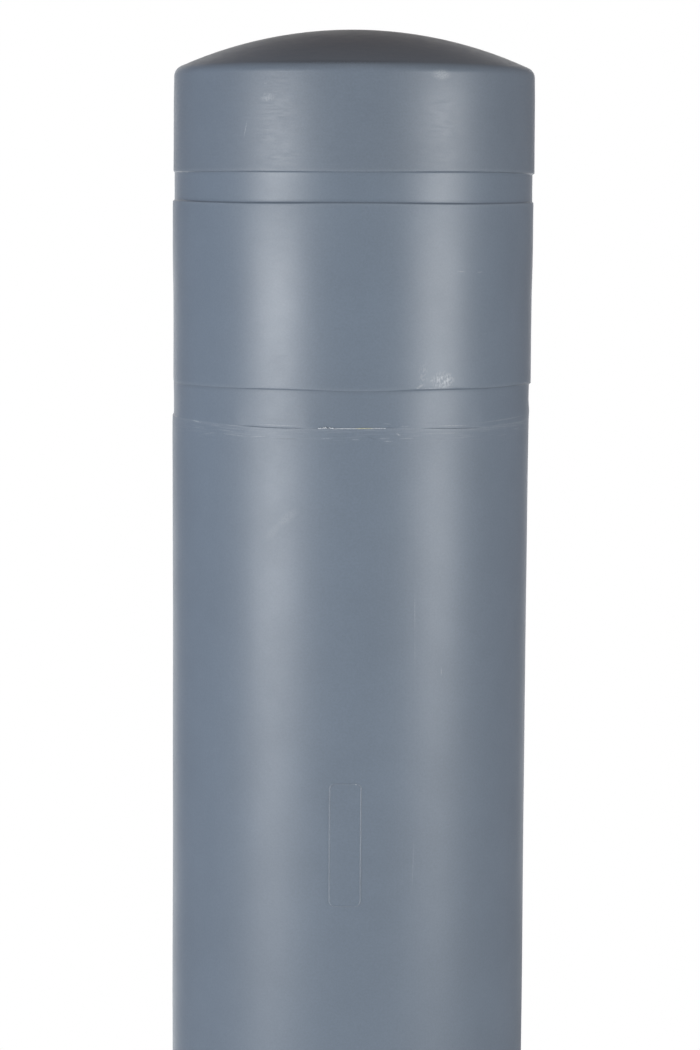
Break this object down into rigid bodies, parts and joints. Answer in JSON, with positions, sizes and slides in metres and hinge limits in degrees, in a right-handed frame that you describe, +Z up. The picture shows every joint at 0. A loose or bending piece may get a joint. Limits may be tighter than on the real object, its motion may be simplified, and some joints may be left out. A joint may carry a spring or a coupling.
{
  "type": "bollard cover sleeve",
  "caption": "Tall domed plastic sleeve with recessed tape bands that drops over a steel pipe bollard and grips it with foam pads stuck inside its wall.",
  "frame": {"origin": "centre of the foot, on the ground that the sleeve stands on", "axes": "+Z up along the sleeve's axis to the crown of the dome, -Y through the blank panel on the front"},
  "size_m": [0.1843, 0.1848, 1.32],
  "materials": {
    "sleeve_plastic": "slate blue-grey moulded polyethylene, satin",
    "pad_foam": "charcoal closed-cell foam, matte",
    "adhesive_film": "thin clear-white acrylic adhesive film"
  },
  "bodies": {
    "root": {"sleeve_shell": "sleeve_plastic", "upper_foam_pad_front": "pad_foam", "upper_foam_pad_right": "pad_foam", "upper_foam_pad_back": "pad_foam", "upper_foam_pad_left": "pad_foam", "lower_foam_pad_front": "pad_foam", "lower_foam_pad_right": "pad_foam", "lower_foam_pad_back": "pad_foam", "lower_foam_pad_left": "pad_foam", "upper_adhesive_films": "adhesive_film", "lower_adhesive_films": "adhesive_film"}
  },
  "joints": []
}
